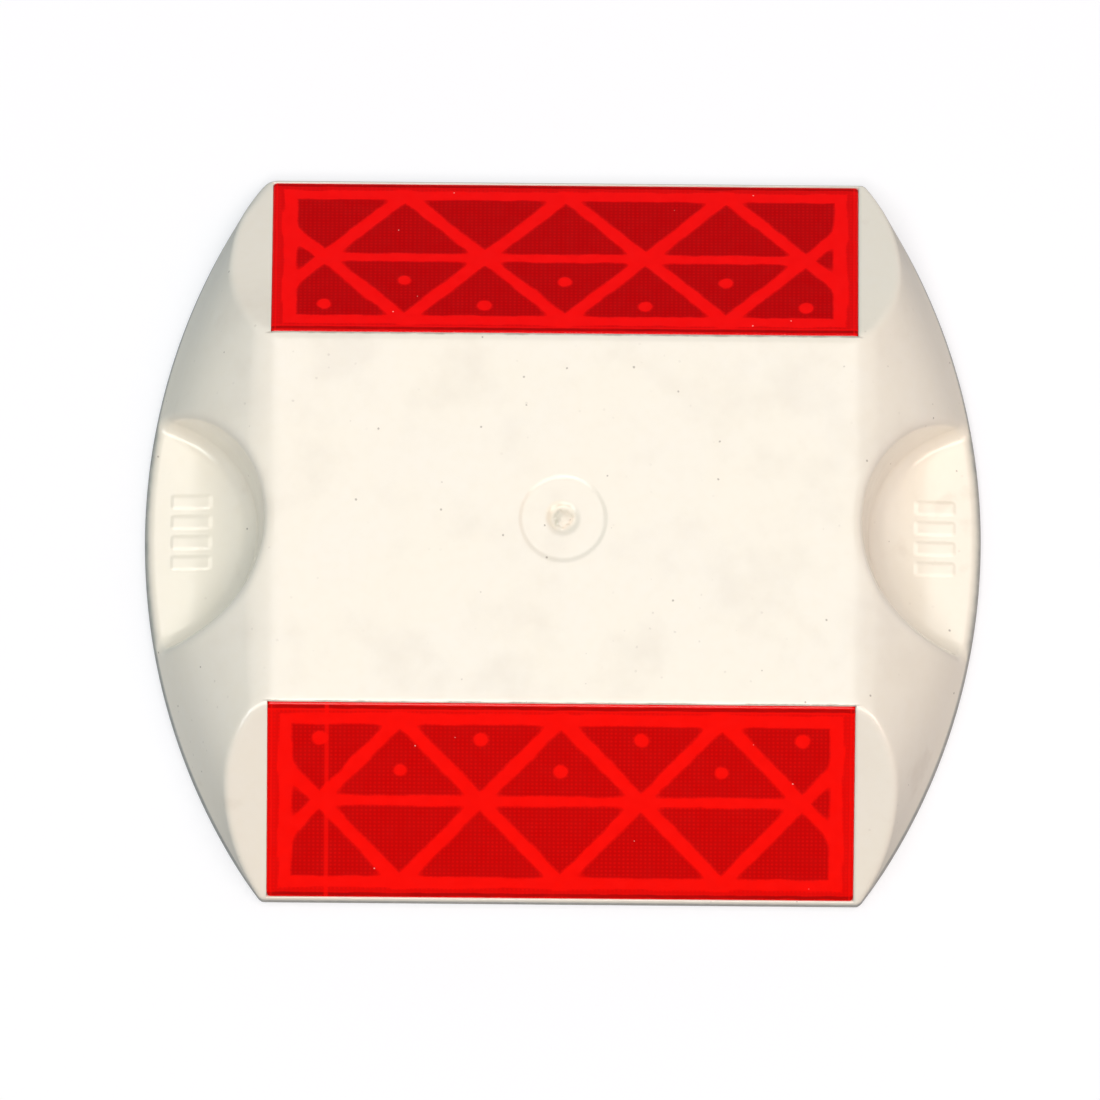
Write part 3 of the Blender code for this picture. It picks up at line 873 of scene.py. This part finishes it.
def lens_plastic(end):
    """Red reflector: a bright truss of welds and posts over darker cells with a fine grid of prisms, thin
    painted highlights inside its edge and a painted red glow.
    """
    p = Painter(f"red_reflector_{end}")
    source = p.tree.nodes.new("ShaderNodeAttribute")
    source.attribute_name = "lens_place"
    plane = source.outputs["Vector"]
    along, up, _ = p.parts(plane)
    seed = LENS_SEED[end]
    side, weld = lens_welds(p, along, up, plane, seed)
    cell = prism_cell(p, along, up, plane, seed, end)
    cell = p.mix(side.ramp(*BORDER_START) * BORDER_SHARE, cell, LENS_BRIGHT[end])
    glow = (p.noise(0.8, 3.0, plane, seed + 4) - 0.5) * 0.5 + 0.88
    colour = p.mix(weld * glow, cell, LENS_BRIGHT[end])
    colour = p.mix(lens_border(p, up, plane, seed), colour, LENS_SHADE)
    # Painted highlights inside the plate's edge
    colour = p.mix(lens_rim_highlights(p, along, up, plane, seed), colour, LENS_BRIGHT[end])
    if end == "front":
        seam = (along + SEAM_X).size().ramp(*SEAM_EDGE) * SEAM_SHARE
        colour = p.mix(seam, colour, LENS_BRIGHT[end])
    dust = p.specks(DUST_SIZE, DUST_SPREAD, 0.3, seed + 5, plane)
    colour = p.mix(dust * 0.7, colour, LENS_DUST)
    turn = 2 * pi / PRISM_PITCH
    grid = (along * turn).math("SINE") + (up * turn).math("SINE")
    relief = grid * (weld * -1.0 + 1.0) * 0.1 + weld * 0.8
    normal = p.bump(relief, 0.25, PRISM_HEIGHT)
    roughness = p.noise(1.5, 2.0, plane, seed + 6) * ROUGHNESS_RANGE + LENS_ROUGHNESS
    # Painted glow: the lens's colour is also given off as light
    p.tree.links.new(colour, p.shader.inputs["Emission Color"])
    painted_glow = {"Emission_Strength": LENS_PAINTED_GLOW[end], "Specular_IOR_Level": 0.25}
    return p.finish(colour, roughness, normal, IOR=1.45, **painted_glow)


def lens_welds(p, along, up, plane, seed):
    """Distance out of the frame's rectangle, and how much of a weld line or post there is."""
    x = along + (p.noise(1.6, 2.0, plane, seed) - 0.5) * WARP
    y = up + (p.noise(1.6, 2.0, plane, seed + 1) - 0.5) * WARP
    near_crossing = ((x * (1 / TRUSS_PITCH)).math("FRACT") - 0.5).size()
    slant = (y.size() - near_crossing * 2.0 * FRAME_HALF_HEIGHT).size() * SLANT_NARROWING
    middle = y.size().most(x.size() - OUTER_CROSSING)
    side = (x.size() - FRAME_HALF_WIDTH).most(y.size() - FRAME_HALF_HEIGHT)
    truss = slant.most(side).blended_least(middle, CORNER_BLEND)
    truss = truss.blended_least(side.size() - FRAME_WIDENING, CORNER_BLEND)
    at_crossing = (near_crossing * TRUSS_PITCH).away(y - POST_AT_CROSSING)
    at_apex = ((near_crossing * -1.0 + 0.5) * TRUSS_PITCH).away(y - POST_AT_APEX)
    post = at_crossing.least(at_apex) - (POST_RADIUS - LINE_HALF)
    width = (p.noise(4.5, 2.0, plane, seed + 2) - 0.5) * WIDTH_CHANGE
    edge = truss.blended_least(post, POST_BLEND) - width - LINE_HALF
    return side, edge.ramp(*WELD_EDGE)


def prism_cell(p, along, up, plane, seed, end):
    """A fine grid of soft dots."""
    across = (along * (1 / PRISM_PITCH)).math("FRACT") - 0.5
    upward = (up * (1 / PRISM_PITCH)).math("FRACT") - 0.5
    dots = across.away(upward).ramp(*PRISM_DOT)
    clouded = p.noise(3.0, 2.0, plane, seed + 3) * 0.8 + 0.2
    return p.mix(dots * clouded, LENS_DARK[end], LENS_MIDDLE[end])


def lens_border(p, up, plane, seed):
    """A dark wavering line just inside the bevel on the deck side and on the lip side."""
    wander = (p.noise(2.2, 3.0, plane, seed + 7) - 0.5) * 0.35
    from_top = up * -1.0 + LENS_LENGTH / 2 / MM
    from_foot = up + LENS_LENGTH / 2 / MM
    top = (from_top + wander - STREAK_FROM_TOP).size().ramp(*STREAK_EDGE)
    foot = (from_foot + wander - STREAK_FROM_FOOT).size().ramp(*STREAK_EDGE)
    return top.most(foot) * (p.noise(3.0, 2.0, plane, seed + 8) * 0.6 + 0.35)


def lens_rim_highlights(p, along, up, plane, seed):
    """Painted highlights: thin brighter lines inside the plate's edge."""
    wander = (p.noise(2.8, 2.0, plane, seed + 9) - 0.5) * 0.2
    from_side = along.size() * -1.0 + LENS_WIDTH / 2 / MM
    from_top = up * -1.0 + LENS_LENGTH / 2 / MM
    side = (from_side + wander - RIM_HIGHLIGHT_FROM_SIDE).size().ramp(*RIM_HIGHLIGHT_EDGE) * 0.4
    top = (from_top + wander - RIM_HIGHLIGHT_FROM_TOP).size().ramp(*RIM_HIGHLIGHT_EDGE) * 0.5
    return side.most(top)


def sand(name, pale, mid, dark, size):
    """Bonded sand: grains of mixed colour in a dull binder."""
    p = Painter(name)
    near, lot = p.cells(size, shift=1.0)
    colour = p.mix(lot.ramp(0.3, 0.7), pale, mid)
    colour = p.mix(lot.ramp(0.82, 0.9), colour, dark)
    colour = p.mix(near.ramp(0.35, 0.75) * 0.55, colour, dark)
    colour = p.mix(p.noise(SAND_CLOUD_SIZE, 3.0, shift=2.0).ramp(0.4, 0.7) * 0.3, colour, mid)
    grain = p.bump(near * -1.0, 0.5, SAND_GRAIN_HEIGHT)
    normal = p.bump(p.noise(SAND_PIT_SIZE, 3.0, shift=3.0), 0.4, SAND_PIT_HEIGHT, grain)
    roughness = lot * 0.2 + 0.72
    return p.finish(colour, roughness, normal, IOR=1.5)


def dress(obj, material):
    obj.data.materials.clear()
    obj.data.materials.append(material)
    obj.data.polygons.foreach_set("material_index", np.zeros(len(obj.data.polygons), int))


def add_piece(obj, node, material):
    """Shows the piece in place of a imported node."""
    dress(obj, material)
    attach(obj, "root")
    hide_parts(node)


def add_floor():
    bpy.ops.mesh.primitive_plane_add(size=FLOOR_SIZE)
    floor = bpy.context.object
    floor.name = "floor"
    p = Painter("pale_floor")
    shade = p.mix(p.noise(FLOOR_CLOUD_SIZE, 2.0) * 0.3, FLOOR_COLOUR, FLOOR_SHADE)
    path = p.tree.nodes.new("ShaderNodeLightPath")
    seen = Value(p.tree, path.outputs["Is Camera Ray"])
    p.tree.links.new(shade, p.shader.inputs["Emission Color"])
    feed(p.tree, p.shader.inputs["Emission Strength"], seen * FLOOR_GLOW)
    lit = p.mix(seen, FLOOR_BOUNCE, p.mix(FLOOR_SHARE, (0.0, 0.0, 0.0), shade))
    material = p.finish(lit, 0.9, Specular_IOR_Level=0.0)
    floor.data.materials.append(material)


def add_camera():
    data = bpy.data.cameras.new("camera")
    data.sensor_width = SENSOR
    data.lens = SENSOR * CAMERA_DISTANCE / FRAME_WIDTH
    data.clip_start, data.clip_end = CAMERA_DISTANCE / 2, CAMERA_DISTANCE * 2
    camera = bpy.data.objects.new("camera", data)
    bpy.context.scene.collection.objects.link(camera)
    back = Vector((0, -cos(CAMERA_ELEVATION), sin(CAMERA_ELEVATION)))
    up = Vector((0, sin(CAMERA_ELEVATION), cos(CAMERA_ELEVATION)))
    right = Vector((1, 0, 0)) * cos(CAMERA_ROLL) + up * sin(CAMERA_ROLL)
    up = up * cos(CAMERA_ROLL) - Vector((1, 0, 0)) * sin(CAMERA_ROLL)
    target = right * CAMERA_AIM[0] + up * CAMERA_AIM[1] + back * AIM_DEPTH
    turn = Matrix((right, up, back)).transposed().to_4x4()
    camera.matrix_world = Matrix.Translation(target + back * CAMERA_DISTANCE) @ turn
    bpy.context.scene.camera = camera


def add_light(name, size, power, colour, place):
    """A soft square light that faces the object."""
    data = bpy.data.lights.new(name, "AREA")
    data.shape, data.size, data.energy, data.color = "SQUARE", size, power, colour
    light = bpy.data.objects.new(name, data)
    light.location = place
    light.rotation_mode = "QUATERNION"
    light.rotation_quaternion = Vector(place).to_track_quat("Z", "Y")
    bpy.context.scene.collection.objects.link(light)


def add_sky():
    """Even light from all round: a white backdrop for the camera, and a dimmer one in reflections."""
    world = bpy.data.worlds.new("studio")
    world.use_nodes = True
    tree = world.node_tree
    glow = tree.nodes["Background"]
    place = tree.nodes.new("ShaderNodeTexCoord")
    split = tree.nodes.new("ShaderNodeSeparateXYZ")
    tree.links.new(place.outputs["Generated"], split.inputs[0])
    x, y, z = (Value(tree, output) for output in split.outputs)
    warmth = tree.nodes.new("ShaderNodeMix")
    warmth.data_type = "RGBA"
    feed(tree, warmth.inputs[0], (x * WARM_X + y * WARM_Y + 0.5).ramp(0.0, 1.0))
    warmth.inputs[6].default_value = (*SKY_COOL, 1)
    warmth.inputs[7].default_value = (*SKY_WARM, 1)
    tree.links.new(warmth.outputs[2], glow.inputs["Color"])
    path = tree.nodes.new("ShaderNodeLightPath")
    seen = Value(tree, path.outputs["Is Camera Ray"])
    mirrored = Value(tree, path.outputs["Is Glossy Ray"])
    rise = z.ramp(0.0, SKY_FULL_HEIGHT) * (SKY_STRENGTH - SKY_LOW) + SKY_LOW
    soft = rise * (x * SKY_LEAN + y * SKY_BACK + 1)
    from_window = (y + z * WINDOW_RISE + WINDOW_LEVEL).size()
    window = from_window.ramp(*WINDOW_EDGE) * x.size().ramp(*WINDOW_REACH) * z.ramp(*WINDOW_FOOT)
    reflection = z.ramp(*MIRRORED_RISE) * SKY_MIRRORED + window * WINDOW_STRENGTH
    strength = soft + mirrored * (reflection - soft)
    feed(tree, glow.inputs["Strength"], strength + seen * (strength * -1.0 + SKY_SEEN))
    bpy.context.scene.world = world


add_piece(make_shell(), "body_shell", shell_plastic())
for side in ("front", "rear"):
    add_piece(make_lens(side), f"{side}_lens", lens_plastic(side))
bonded_sand = sand("bonded_sand", SAND_PALE, SAND_MID, SAND_DARK, SAND_SIZE)
add_piece(make_grit(), "base_grit", bonded_sand)
cast_filling = sand("cast_filling", RESIN_PALE, RESIN_MID, RESIN_DARK, RESIN_SIZE)
dress(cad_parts["filling_core"], cast_filling)

add_floor()
add_camera()
add_light("overhead", KEY_SIZE, KEY_POWER, KEY_COLOUR, KEY_PLACE)
add_light("front", FRONT_SIZE, FRONT_POWER, KEY_COLOUR, FRONT_PLACE)
add_sky()
bpy.context.scene.view_settings.view_transform = "Standard"
